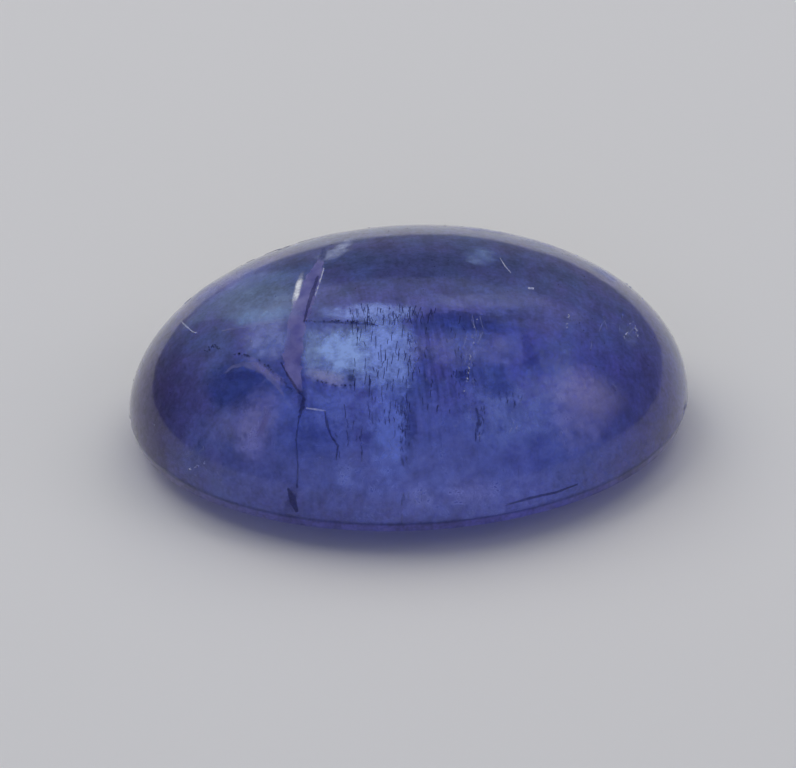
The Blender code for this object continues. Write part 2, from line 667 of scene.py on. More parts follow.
def named_tree(name: str, inputs: dict[str, str]) -> bpy.types.NodeTree:
    """Start a Geometry Nodes tree with geometry in and out, and named inputs.

    Args:
        name: the tree's name.
        inputs: each input's socket type by its name.

    Returns:
        The tree, with its group input and output nodes.
    """
    tree = bpy.data.node_groups.new(name, "GeometryNodeTree")
    tree.interface.new_socket("Geometry", in_out="INPUT", socket_type="NodeSocketGeometry")
    for socket_name, socket_type in inputs.items():
        tree.interface.new_socket(socket_name, in_out="INPUT", socket_type=socket_type)
    tree.interface.new_socket("Geometry", in_out="OUTPUT", socket_type="NodeSocketGeometry")
    add(tree, "NodeGroupInput")
    return tree


def end_tree(tree: bpy.types.NodeTree, geometry: bpy.types.NodeSocket,
             finish: bpy.types.NodeSocket) -> None:
    """End a Geometry Nodes tree in Realize Instances and Set Material.

    Args:
        tree: the tree.
        geometry: what it has made.
        finish: the material to set on it.
    """
    real = add(tree, "GeometryNodeRealizeInstances", inputs={"Geometry": geometry})
    dressed = add(tree, "GeometryNodeSetMaterial", inputs={
        "Geometry": real.outputs["Geometry"], "Material": finish})
    add(tree, "NodeGroupOutput", inputs={0: dressed.outputs["Geometry"]})


def run_tree(name: str, source: bpy.types.Mesh, tree: bpy.types.NodeTree,
             values: dict[str, Any]) -> bpy.types.Object:
    """Run a Geometry Nodes tree on a mesh and keep the result as a plain object.

    Args:
        name: the piece's name.
        source: the mesh that the tree starts from.
        tree: the tree.
        values: the tree's inputs by name.

    Returns:
        An object with the plain result and no modifier.
    """
    carrier = bpy.data.objects.new(name + "_source", source)
    bpy.context.scene.collection.objects.link(carrier)
    modifier = carrier.modifiers.new("nodes", "NODES")
    modifier.node_group = tree
    for item in tree.interface.items_tree:
        if item.in_out == "INPUT" and item.name in values:
            modifier[item.identifier] = values[item.name]
    graph = bpy.context.evaluated_depsgraph_get()
    mesh = bpy.data.meshes.new_from_object(carrier.evaluated_get(graph))
    bpy.data.objects.remove(carrier, do_unlink=True)
    mesh.name = name
    mesh.shade_smooth()
    return link_piece(name, mesh)


def link_piece(name: str, mesh: bpy.types.Mesh) -> bpy.types.Object:
    """Put a mesh in the scene as an object of its own.

    Args:
        name: the object's name.
        mesh: its mesh.

    Returns:
        The object.
    """
    piece = bpy.data.objects.new(name, mesh)
    bpy.context.scene.collection.objects.link(piece)
    return piece


def set_in_stone(piece: bpy.types.Object, replaced: str | None = None) -> None:
    """Let a piece ride with the stone, and report it.

    Args:
        piece: the finished object.
        replaced: the CAD node that it stands for, if any.
    """
    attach(piece, BODY)
    if replaced:
        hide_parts(replaced)
    log.info("%s: %d faces", piece.name, len(piece.data.polygons))


@dataclass(frozen=True)
class GirdleChip:
    """A small chip in the girdle's edge, by its place in the photograph and its depth in metres."""

    middle: Pixel
    depth: float


CHIPS = {
    "right tip": GirdleChip((685.0, 405.0), 0.10 * MM),
    "left tip": GirdleChip((131.0, 408.0), 0.06 * MM),
}


@dataclass(frozen=True)
class PolishedStone:
    """The whole stone: a profile turned to an oval by Geometry Nodes, with small chips on its girdle."""

    form: CabochonForm
    turn_steps: int = 440
    dome_rings: int = 168
    band_rings: int = 6
    back_rings: int = 34
    spot_rings: int = 6
    merge_distance: float = 0.0001 * MM
    chip_spread: float = 2.5
    sharp_angle: float = math.radians(40)

    def profile(self) -> list[Vector]:
        """List the half section from the top of the dome to the middle of the flat spot.

        Returns:
            Points in the XZ plane.
        """
        form = self.form
        axes = form.semi_axes
        edge = form.half_length - form.band_taper
        points = []
        for ring in range(self.dome_rings + 1):
            angle = math.pi / 2 * (1 - ring / self.dome_rings)
            radius = axes.x * math.cos(angle) if ring else 0.0
            points.append(Vector((radius, 0.0, form.girdle_height + axes.z * math.sin(angle))))
        for ring in range(1, self.band_rings + 1):
            share = ring / self.band_rings
            points.append(Vector((form.half_length - form.band_taper * share, 0.0,
                                  form.girdle_height - form.band_height * share)))
        for ring in range(1, self.back_rings + 1):
            share = 1 - ring / self.back_rings
            radius = form.flat_spot_half + (edge - form.flat_spot_half) * share
            points.append(Vector((radius, 0.0, form.back_depth * share**2)))
        for ring in range(1, self.spot_rings + 1):
            points.append(Vector((form.flat_spot_half * (1 - ring / self.spot_rings), 0.0, 0.0)))
        return points

    def turning_tree(self) -> bpy.types.NodeTree:
        """Build the tree that turns a profile about Z and squeezes it across to an oval.

        Returns:
            The tree.
        """
        tree = named_tree("turned_oval", {
            "Turn Steps": "NodeSocketInt", "Rings": "NodeSocketInt", "Width Ratio": "NodeSocketFloat",
            "Merge Distance": "NodeSocketFloat", "Finish": "NodeSocketMaterial"})
        given = tree.nodes["Group Input"].outputs
        columns = add(tree, "ShaderNodeMath", {"operation": "ADD"}, {0: given["Turn Steps"], 1: 1.0})
        grid = add(tree, "GeometryNodeMeshGrid", inputs={
            "Vertices X": columns.outputs[0], "Vertices Y": given["Rings"]})
        index = add(tree, "GeometryNodeInputIndex").outputs[0]
        column = add(tree, "FunctionNodeIntegerMath", {"operation": "DIVIDE_FLOOR"}, {
            0: index, 1: given["Rings"]})
        ring = add(tree, "FunctionNodeIntegerMath", {"operation": "MODULO"}, {
            0: index, 1: given["Rings"]})
        here = add(tree, "GeometryNodeInputPosition").outputs[0]
        section = add(tree, "GeometryNodeSampleIndex", {"data_type": "FLOAT_VECTOR"}, {
            "Geometry": given["Geometry"], "Value": here, "Index": ring.outputs[0]})
        parts = add(tree, "ShaderNodeSeparateXYZ", inputs={0: section.outputs[0]}).outputs
        share = add(tree, "ShaderNodeMath", {"operation": "DIVIDE"}, {
            0: column.outputs[0], 1: given["Turn Steps"]})
        angle = add(tree, "ShaderNodeMath", {"operation": "MULTIPLY"}, {
            0: share.outputs[0], 1: 2 * math.pi})
        cosine = add(tree, "ShaderNodeMath", {"operation": "COSINE"}, {0: angle.outputs[0]})
        sine = add(tree, "ShaderNodeMath", {"operation": "SINE"}, {0: angle.outputs[0]})
        along = add(tree, "ShaderNodeMath", {"operation": "MULTIPLY"}, {
            0: parts["X"], 1: cosine.outputs[0]})
        across = add(tree, "ShaderNodeMath", {"operation": "MULTIPLY"}, {
            0: parts["X"], 1: sine.outputs[0]})
        squeezed = add(tree, "ShaderNodeMath", {"operation": "MULTIPLY"}, {
            0: across.outputs[0], 1: given["Width Ratio"]})
        place = add(tree, "ShaderNodeCombineXYZ", inputs={
            "X": along.outputs[0], "Y": squeezed.outputs[0], "Z": parts["Z"]})
        turned = add(tree, "GeometryNodeSetPosition", inputs={
            "Geometry": grid.outputs["Mesh"], "Position": place.outputs[0]})
        closed = add(tree, "GeometryNodeMergeByDistance", inputs={
            "Geometry": turned.outputs[0], "Distance": given["Merge Distance"]})
        end_tree(tree, closed.outputs[0], given["Finish"])
        return tree

    def build(self, finish: bpy.types.Material) -> bpy.types.Object:
        """Turn the stone, chip its girdle and close its mesh.

        Args:
            finish: the polished stone's material.

        Returns:
            The piece.
        """
        points = self.profile()
        section = bpy.data.meshes.new("half_section")
        section.from_pydata(points, [(i, i + 1) for i in range(len(points) - 1)], [])
        stone = run_tree("polished_stone", section, self.turning_tree(), {
            "Turn Steps": self.turn_steps, "Rings": len(points),
            "Width Ratio": self.form.half_width / self.form.half_length,
            "Merge Distance": self.merge_distance, "Finish": finish})
        self.chip_girdle(stone.data)
        self.turn_faces_out(stone.data)
        stone.data.set_sharp_from_angle(angle=self.sharp_angle)
        return stone

    def chip_girdle(self, mesh: bpy.types.Mesh) -> None:
        """Press the small chips that the photo shows into the girdle's edge.

        Args:
            mesh: the turned stone.
        """
        for chip in CHIPS.values():
            middle = self.form.on_dome(chip.middle)[0]
            middle.z = self.form.girdle_height
            inward = Vector((-middle.x, -middle.y, 0.0)).normalized()
            for vertex in mesh.vertices:
                away = (vertex.co - middle).length / (self.chip_spread * chip.depth)
                if away < 1.0:
                    vertex.co += inward * (chip.depth * (1 - away**2) ** 2)

    def turn_faces_out(self, mesh: bpy.types.Mesh) -> None:
        """Make every face point outwards.

        Args:
            mesh: a closed mesh.
        """
        work = bmesh.new()
        work.from_mesh(mesh)
        bmesh.ops.recalc_face_normals(work, faces=work.faces)
        work.to_mesh(mesh)
        work.free()


def with_points_between(points: Sequence[tuple[float, ...]], step: float) -> list[tuple[float, ...]]:
    """Add points on the straight runs of a traced line.

    Args:
        points: x and y in pixels, and any further values, which are blended too.
        step: the longest run that is left, in pixels.

    Returns:
        The old and the new points in order.
    """
    result = []
    for start, end in zip(points, points[1:]):
        count = max(1, math.ceil(math.dist(start[:2], end[:2]) / step))
        for i in range(count):
            share = i / count
            result.append(tuple(a + (b - a) * share for a, b in zip(start, end)))
    result.append(points[-1])
    return result


@dataclass(frozen=True)
class Stroke:
    """A flake traced on the photograph: x, y and width in pixels along it, and how ragged its edges are."""

    points: tuple[tuple[float, float, float], ...]
    ragged: float = 0.25
    step: float = 2.0
    jags_per_pixel: float = 0.31
    edge_shift: float = 7.0

    def edges(self) -> list[tuple[Pixel, Pixel]]:
        """List the stroke's two ragged edges.

        Returns:
            The left and the right pixel at each point.
        """
        points = with_points_between(self.points, self.step)
        result = []
        for i, (x, y, width) in enumerate(points):
            before = points[max(i - 1, 0)]
            after = points[min(i + 1, len(points) - 1)]
            run = Vector((after[0] - before[0], after[1] - before[1])).normalized()
            across = Vector((-run.y, run.x)) * width / 2
            halves = []
            for sign in (-1, 1):
                jag = noise.noise(Vector((x * self.jags_per_pixel, y * self.jags_per_pixel,
                                          self.edge_shift * sign)))
                reach = sign * (1 + self.ragged * jag)
                halves.append((x + reach * across.x, y + reach * across.y))
            result.append(tuple(halves))
        return result


@dataclass(frozen=True)
class FilmSet:
    """Thin flakes that follow the dome, all at one depth under it; below zero is over it."""

    name: str
    strokes: dict[str, Stroke]
    depth: float
    cells: int = 1
    thickness: float = 0.006 * MM

    def build(self, form: CabochonForm, finish: bpy.types.Material) -> bpy.types.Object:
        """Build all the flakes as closed thin solids in one mesh.

        Args:
            form: the stone, which gives the dome.
            finish: the flakes' material.

        Returns:
            The piece.
        """
        work = bmesh.new()
        for stroke in self.strokes.values():
            rings = [self.ring(work, form, left, right) for left, right in stroke.edges()]
            for ring, following in zip(rings, rings[1:]):
                for i in range(len(ring)):
                    j = (i + 1) % len(ring)
                    work.faces.new((ring[i], ring[j], following[j], following[i]))
            work.faces.new(list(reversed(rings[0])))
            work.faces.new(rings[-1])
        bmesh.ops.recalc_face_normals(work, faces=work.faces)
        mesh = bpy.data.meshes.new(self.name)
        work.to_mesh(mesh)
        work.free()
        mesh.materials.append(finish)
        return link_piece(self.name, mesh)

    def ring(self, work: bmesh.types.BMesh, form: CabochonForm, left: Pixel,
             right: Pixel) -> list[bmesh.types.BMVert]:
        """Add one cross-section of a flake.

        Args:
            work: the mesh under way.
            form: the stone.
            left: the pixel of the flake's left edge.
            right: the pixel of its right edge.

        Returns:
            The section's corners, over the top and back underneath.
        """
        across = [Vector(left).lerp(Vector(right), i / self.cells) for i in range(self.cells + 1)]
        top = [work.verts.new(form.under_dome(pixel, self.depth)) for pixel in across]
        below = [work.verts.new(form.under_dome(pixel, self.depth + self.thickness))
                 for pixel in reversed(across)]
        return top + below


MAIN_FRACTURE = FilmSet("main_fracture", depth=-0.002 * MM, cells=8, strokes={
    "lavender band": Stroke((
        (323, 256, 4), (315, 274, 12), (308, 292, 17), (302, 307, 18), (297, 323, 18), (295, 342, 19),
        (292, 360, 20), (294, 374, 14), (300, 392, 5)), 0.45),
})
BRIGHT_FILMS = FilmSet("bright_films", depth=-0.0015 * MM, strokes={
    "flash on the fracture": Stroke(((324, 268, 1.0), (320, 281, 1.6), (315, 296, 0.8))),
    "scratch at the upper left": Stroke((
        (180, 320, 0.8), (186, 326, 1.0), (193, 332, 0.8), (197, 333, 0.7))),
    "flash under the fracture": Stroke(((306, 408, 0.8), (316, 409.5, 2.0), (326, 411, 0.6))),
    "scratch at the upper right": Stroke(((500, 258, 0.5), (505, 266, 1.0), (511, 273, 0.5))),
    "dash at the right": Stroke(((528, 288, 2.0), (534, 288.5, 2.0))),
})
DARK_FILMS = FilmSet("dark_films", depth=-0.008 * MM, strokes={
    "crack under the flash": Stroke((
        (325, 411, 1.5), (327, 424, 2.5), (331, 436, 1.5), (338, 446, 2.0), (336, 460, 1.0))),
    "knot at the fracture's foot": Stroke(((304, 398, 3.0), (302, 408, 4.0), (299, 418, 2.0)), 0.9),
    "fracture's right edge": Stroke((
        (318, 276, 2.0), (313, 291, 4.0), (308, 306, 2.5), (304, 322, 1.2)), 0.7),
    "fracture's left edge": Stroke((
        (281, 362, 1.2), (287, 374, 2.2), (296, 388, 2.4), (304, 398, 1.4)), 0.9),
    "line down from the knot": Stroke((
        (299, 418, 1.0), (296, 440, 1.2), (298, 466, 0.9), (297, 488, 1.4)), 0.9),
    "wedge at the line's end": Stroke(((288, 488, 2.0), (293, 500, 7.0), (297, 512, 3.0))),
    "sliver at the lower right": Stroke((
        (506, 505, 1.0), (530, 498, 2.5), (557, 492, 2.0), (578, 484, 1.0))),
    "short crack right of the middle": Stroke(((476, 408, 2.0), (479, 420, 2.5), (477, 432, 1.2))),
})
PALE_ARCS = FilmSet("pale_arcs", depth=-0.002 * MM, cells=3, strokes={
    "rim over the dark dome": Stroke((
        (224, 374, 1), (232, 367, 3), (244, 364, 5), (256, 367, 7), (267, 374, 7), (277, 385, 5),
        (284, 396, 1.5)), 0.6),
    # Painted reflection: the pale lower edge of the blue window's reflection
    "painted reflection edge at the upper left": Stroke((
        (222, 331, 1), (236, 328, 2.5), (254, 324.5, 4), (272, 321.5, 3), (287, 319, 1)), 0.4),
})


@dataclass(frozen=True)
class Veil:
    """A soft-edged sheet at the dome, by its place and reach in the photograph: most are clouds of tiny fluid
    drops, some are painted light, painted highlights or painted reflections.
    """

    middle: Pixel
    reach: Pixel
    colour: str
    density: float
    tilt: float = 0.0
    margin: float = 1.4
    cell: float = 8.0
    fewest_cells: int = 4

    def add_to(self, work: bmesh.types.BMesh, form: CabochonForm, lift: float) -> None:
        """Add the veil as a curved sheet, with its own coordinates and colour as attributes.

        The sheet ends at the girdle and at the horizon.

        Args:
            work: the mesh under way, with the layers veil_place and veil_colour.
            form: the stone, which gives the dome.
            lift: how far the sheet lies over the dome.
        """
        place = work.verts.layers.float_vector["veil_place"]
        colour = work.verts.layers.float_color["veil_colour"]
        turn = math.radians(self.tilt)
        across, down = (max(self.fewest_cells, math.ceil(2 * self.margin * half / self.cell))
                        for half in self.reach)
        rows = []
        for i in range(across + 1):
            row = []
            for j in range(down + 1):
                u = self.margin * (2 * i / across - 1)
                v = self.margin * (2 * j / down - 1)
                x, y = u * self.reach[0], v * self.reach[1]
                pixel = (self.middle[0] + x * math.cos(turn) + y * math.sin(turn),
                         self.middle[1] - x * math.sin(turn) + y * math.cos(turn))
                vertex = work.verts.new(form.under_dome(pixel, -lift))
                vertex[place] = (u, v, 0.0)
                vertex[colour] = (*linear(self.colour)[:3], self.density)
                row.append((vertex, form.meet(pixel)[2]))
            rows.append(row)
        for row, following in zip(rows, rows[1:]):
            for j in range(down):
                corners = (row[j], row[j + 1], following[j + 1], following[j])
                if any(met for _, met in corners):
                    work.faces.new([vertex for vertex, _ in corners])


# Each veil lies a little over those before it: first the haze, then the pale patches and the dark spots. Some
# pale patches are painted light, painted highlights and painted reflections, as their names say
VEILS_AND_PAINTED_LIGHT = {
    "haze over the lower half": Veil((430, 452), (250, 84), "#7488ec", 0.33),
    "haze round the window": Veil((350, 404), (56, 30), "#7a8cea", 0.34),
    "haze right of the middle": Veil((520, 414), (56, 38), "#8396e2", 0.44),
    "haze along the lower edge": Veil((450, 500), (120, 30), "#8a97ee", 0.33),
    "grey strip by the fracture": Veil((313, 350), (11, 30), "#90a8da", 0.60),
    # Painted light: pale sheets that brighten the window, where light from behind shines through
    "painted light in the bright window": Veil((344, 353), (28, 25), "#a0beff", 0.90, 8),
    "painted light in the window's right part": Veil((388, 352), (27, 40), "#94aeff", 0.76),
    "band over the window": Veil((370, 312), (48, 9), "#9cb4ff", 0.72),
    "lilac sill under the window": Veil((327, 377), (24, 8), "#a9a7cc", 0.42, -14),
    "column under the window": Veil((390, 432), (20, 52), "#7f98fa", 0.50),
    "spot under the crack": Veil((345, 474), (10, 15), "#8696e6", 0.36),
    "triangle at the upper left": Veil((266, 338), (24, 22), "#8f9cdc", 0.60, -20),
    # Painted reflection: part of the blue window's reflection at the upper left
    "painted reflection bar at the upper left": Veil((262, 316), (36, 9), "#8fb0e8", 0.42, 9),
    "feather at the top": Veil((334, 253), (19, 6), "#b9c4ec", 0.45, 24),
    "feather's bright heart": Veil((343, 246), (12, 4), "#c4cef2", 0.45, 30),
    "white flare on the fracture": Veil((297.5, 290), (3.2, 18), "#f6f8ff", 0.95, -16),
    # Painted highlight: a soft lavender highlight of the left glow
    "painted highlight left of the knot": Veil((257, 426), (20, 42), "#9694d8", 0.38, -14),
    "lilac rim of the dark dome": Veil((266, 371), (26, 5), "#8d88c4", 0.45, -36),
    "fleck at the top": Veil((480, 257), (16, 9), "#8ba2da", 0.40),
    # Painted reflection: a pale bar where the tent roof reflects over the top
    "painted reflection bar right of the top": Veil((478, 301), (72, 8), "#8f98d0", 0.28),
    "haze under the bar": Veil((468, 350), (66, 18), "#8b92d8", 0.34),
    # Painted highlight: a soft lavender highlight of the right glow
    "painted highlight at the right": Veil((580, 408), (30, 44), "#9c98dc", 0.38),
    "blue at the right": Veil((556, 366), (24, 32), "#8092d0", 0.28),
    "fleck at the right shoulder": Veil((630, 334), (10, 15), "#8c97cc", 0.20, 20),
    "spot low in the middle": Veil((420, 497), (15, 14), "#929ce8", 0.42),
    "spot low on the right": Veil((470, 490), (26, 15), "#9698e2", 0.30),
    "dark spot in the window": Veil((351, 378), (4.5, 4.5), "#151c4c", 0.85),
    "dark knot": Veil((302, 399), (6, 13), "#1c2468", 0.65),
    "dark wedge at the lower left": Veil((292, 498), (6, 15), "#22206a", 0.55, -20),
    "plum stripe left of the knot": Veil((264, 423), (4, 19), "#453a80", 0.45, -22),
    "dark spot in the middle": Veil((462, 376), (8, 7), "#1f2a78", 0.55),
    "dark patch right of the middle": Veil((499, 389), (18, 10), "#22308a", 0.55),
    "dark streak at the right": Veil((527, 344), (6, 14), "#263290", 0.40, 20),
    "dark patch at the lower right": Veil((537, 440), (16, 10), "#2c3a98", 0.35),
    "thin line over the window": Veil((343, 323), (38, 1.4), "#2c3878", 0.36, -3),
    "dark fleck by the feather": Veil((323, 256), (4, 8), "#26306e", 0.60, -20),
    "shade over the dark dome": Veil((236, 376), (22, 5), "#22286e", 0.40, 6),
}


@dataclass(frozen=True)
class VeilAndPaintedLightFinish:
    """Clouds of fluid drops, left as cracks healed, and patches of painted light, highlight and reflection: a
    milky film that thins out to nothing at its edges.

    Each sheet gives its own coordinates, from -1 to 1 over its reach, and its own colour and density.
    """

    grain: float = 0.30 * MM
    grain_detail: float = 3.0
    grain_roughness: float = 0.75
    squareness: float = 2.8
    raggedness: float = 0.7
    outer_edge: float = 1.55
    inner_edge: float = 0.65
    noise_range: tuple[float, float] = (0.3, 0.7)
    patchiness: tuple[float, float] = (1.45, 0.4)
    roughness: float = 0.6
    specular_level: float = 0.1

    def make(self) -> bpy.types.Material:
        """Build the material from the sheet's own attributes and a fine noise.

        Returns:
            The material.
        """
        material = bpy.data.materials.new("milky_veil_and_painted_light")
        material.use_nodes = True
        tree = material.node_tree
        shader = tree.nodes["Principled BSDF"]
        place = add(tree, "ShaderNodeTexCoord").outputs["Object"]
        cloud = add(tree, "ShaderNodeTexNoise", inputs={
            "Vector": place, "Scale": 1 / self.grain, "Detail": self.grain_detail,
            "Roughness": self.grain_roughness}).outputs["Fac"]
        sheet = add(tree, "ShaderNodeAttribute", {"attribute_name": "veil_place"})
        tone = add(tree, "ShaderNodeAttribute", {"attribute_name": "veil_colour"})
        ragged = add(tree, "ShaderNodeMath", {"operation": "MULTIPLY_ADD"}, {
            0: cloud, 1: self.raggedness, 2: self.distance(tree, sheet.outputs["Vector"])})
        mask = add(tree, "ShaderNodeMapRange", {"interpolation_type": "SMOOTHSTEP"}, {
            "Value": ragged.outputs[0], "From Min": self.outer_edge, "From Max": self.inner_edge})
        patchy = add(tree, "ShaderNodeMapRange", inputs={
            "Value": cloud, "From Min": self.noise_range[0], "From Max": self.noise_range[1],
            "To Min": self.patchiness[0], "To Max": self.patchiness[1]})
        even = add(tree, "ShaderNodeMath", {"operation": "MULTIPLY"}, {
            0: mask.outputs["Result"], 1: tone.outputs["Alpha"]})
        density = add(tree, "ShaderNodeMath", {"operation": "MULTIPLY", "use_clamp": True}, {
            0: even.outputs[0], 1: patchy.outputs["Result"]})
        tree.links.new(tone.outputs["Color"], shader.inputs["Base Color"])
        tree.links.new(density.outputs[0], shader.inputs["Alpha"])
        shader.inputs["Roughness"].default_value = self.roughness
        shader.inputs["Specular IOR Level"].default_value = self.specular_level
        shader.inputs["Coat Weight"].default_value = 1.0
        shader.inputs["Coat Roughness"].default_value = POLISH_ROUGHNESS
        shader.inputs["Coat IOR"].default_value = POLISH_IOR
        return material

    def distance(self, tree: bpy.types.NodeTree, place: bpy.types.NodeSocket) -> bpy.types.NodeSocket:
        """Measure how far out a place on the sheet is, along ovals with somewhat square corners.

        Args:
            tree: the material's tree.
            place: the sheet's own coordinates.

        Returns:
            A socket that is 1 at the sheet's reach.
        """
        powers = []
        for part in add(tree, "ShaderNodeSeparateXYZ", inputs={0: place}).outputs[:2]:
            size = add(tree, "ShaderNodeMath", {"operation": "ABSOLUTE"}, {0: part})
            powers.append(add(tree, "ShaderNodeMath", {"operation": "POWER"}, {
                0: size.outputs[0], 1: self.squareness}).outputs[0])
        total = add(tree, "ShaderNodeMath", {"operation": "ADD"}, dict(enumerate(powers)))
        return add(tree, "ShaderNodeMath", {"operation": "POWER"}, {
            0: total.outputs[0], 1: 1 / self.squareness}).outputs[0]


@dataclass(frozen=True)
class ThreadPatch:
    """Where fine threads lie, how many there are and how long the longest is, in pixels."""

    middle: Pixel
    reach: Pixel
    count: int
    length: float


@dataclass(frozen=True)
class HiddenSides:
    """Veils, threads and fissures on the sides that the photograph doesn't show, placed by chance.

    Each side is drawn in a view of its own, as the front is in the photograph's.
    """

    azimuths: tuple[float, ...] = (128.0, 180.0, 232.0)
    seed: int = 42
    across: tuple[float, float] = (300, 520)
    down: tuple[float, float] = (372, 500)
    veils: int = 4
    veil_tones: tuple[str, ...] = ("#7c90ec", "#8f9ae0", "#9c97e0", "#7f8ce4")
    veil_half_lengths: tuple[float, float] = (16, 60)
    veil_half_heights: tuple[float, float] = (10, 34)
    veil_densities: tuple[float, float] = (0.2, 0.45)
    veil_tilts: tuple[float, float] = (-40, 40)
    fissures: int = 3
    fissure_points: int = 7
    fissure_step: float = 9.0
    fissure_bend: float = 0.4
    patches: int = 2
    patch_reach: Pixel = (40, 24)
    threads: int = 24
    thread_length: float = 12.0

    def forms(self, form: CabochonForm) -> list[CabochonForm]:
        """List the stone as seen from each hidden side."""
        return [replace(form, view=replace(form.view, azimuth=math.radians(a))) for a in self.azimuths]

    def some_pixel(self, rng: random.Random) -> Pixel:
        """Pick a place on the middle of a side's dome."""
        return rng.uniform(*self.across), rng.uniform(*self.down)

    def some_veils(self, rng: random.Random) -> list[Veil]:
        """Pick one side's veils."""
        return [Veil(self.some_pixel(rng),
                     (rng.uniform(*self.veil_half_lengths), rng.uniform(*self.veil_half_heights)),
                     rng.choice(self.veil_tones), rng.uniform(*self.veil_densities),
                     rng.uniform(*self.veil_tilts))
                for _ in range(self.veils)]

    def some_lines(self, rng: random.Random) -> dict[str, Line]:
        """Pick the courses of one side's healed fissures.

        Args:
            rng: the source of chance.

        Returns:
            Pixels along each fissure.
        """
        lines = {}
        for number in range(self.fissures):
            x, y = self.some_pixel(rng)
            heading = rng.uniform(0, math.pi)
            line = []
            for _ in range(self.fissure_points):
                line.append((x, y))
                heading += rng.uniform(-self.fissure_bend, self.fissure_bend)
                x += self.fissure_step * math.cos(heading)
                y += self.fissure_step * math.sin(heading)
            lines[f"fissure {number + 1}"] = tuple(line)
        return lines

    def some_patches(self, rng: random.Random) -> dict[str, ThreadPatch]:
        """Pick the patches of one side's threads."""
        return {f"patch {number + 1}": ThreadPatch(self.some_pixel(rng), self.patch_reach, self.threads,
                                                   self.thread_length)
                for number in range(self.patches)}


@dataclass(frozen=True)
class MilkyVeilsAndPaintedLight:
    """All the veils and patches of painted light, as one mesh of thin sheets just over the dome, each a little
    over the last one.
    """

    sides: HiddenSides
    lift: float = 0.003 * MM
    lift_growth: float = 0.05

    def build(self, form: CabochonForm, finish: bpy.types.Material) -> bpy.types.Object:
        """Build the sheets.

        Only the camera and reflections see them: they shade nothing, and light that has gone into the
        stone doesn't meet them from below.

        Args:
            form: the stone.
            finish: the veils' material.

        Returns:
            The piece.
        """
        work = bmesh.new()
        work.verts.layers.float_vector.new("veil_place")
        work.verts.layers.float_color.new("veil_colour")
        rng = random.Random(self.sides.seed)
        placed = [(veil, form) for veil in VEILS_AND_PAINTED_LIGHT.values()]
        for side in self.sides.forms(form):
            placed += [(veil, side) for veil in self.sides.some_veils(rng)]
        for number, (veil, seen) in enumerate(placed):
            veil.add_to(work, seen, self.lift * (1 + self.lift_growth * number))
        loose = [vertex for vertex in work.verts if not vertex.link_faces]
        bmesh.ops.delete(work, geom=loose, context="VERTS")
        work.normal_update()
        for face in work.faces:
            if face.calc_center_median().dot(face.normal) < 0:
                face.normal_flip()
        mesh = bpy.data.meshes.new("milky_veils_and_painted_light")
        work.to_mesh(mesh)
        work.free()
        mesh.materials.append(finish)
        mesh.shade_smooth()
        veils = link_piece("milky_veils_and_painted_light", mesh)
        veils.visible_shadow = False
        veils.visible_diffuse = False
        veils.visible_transmission = False
        return veils


def guide_lines(form: CabochonForm, lines: Sequence[Line], depth: float, step: float = 3.0) -> bpy.types.Mesh:
    """Lay guide lines under the dome.

    Args:
        form: the stone.
        lines: each line's pixels.
        depth: how deep the lines lie; below zero is over the dome.
        step: the longest edge, in pixels.

    Returns:
        A mesh of edges.
    """
    points: list[Vector] = []
    edges: list[tuple[int, int]] = []
    for line in lines:
        traced = with_points_between(line, step)
        first = len(points)
        points += [form.under_dome(pixel, depth) for pixel in traced]
        edges += [(first + i, first + i + 1) for i in range(len(traced) - 1)]
    mesh = bpy.data.meshes.new("guide_lines")
    mesh.from_pydata(points, edges, [])
    return mesh


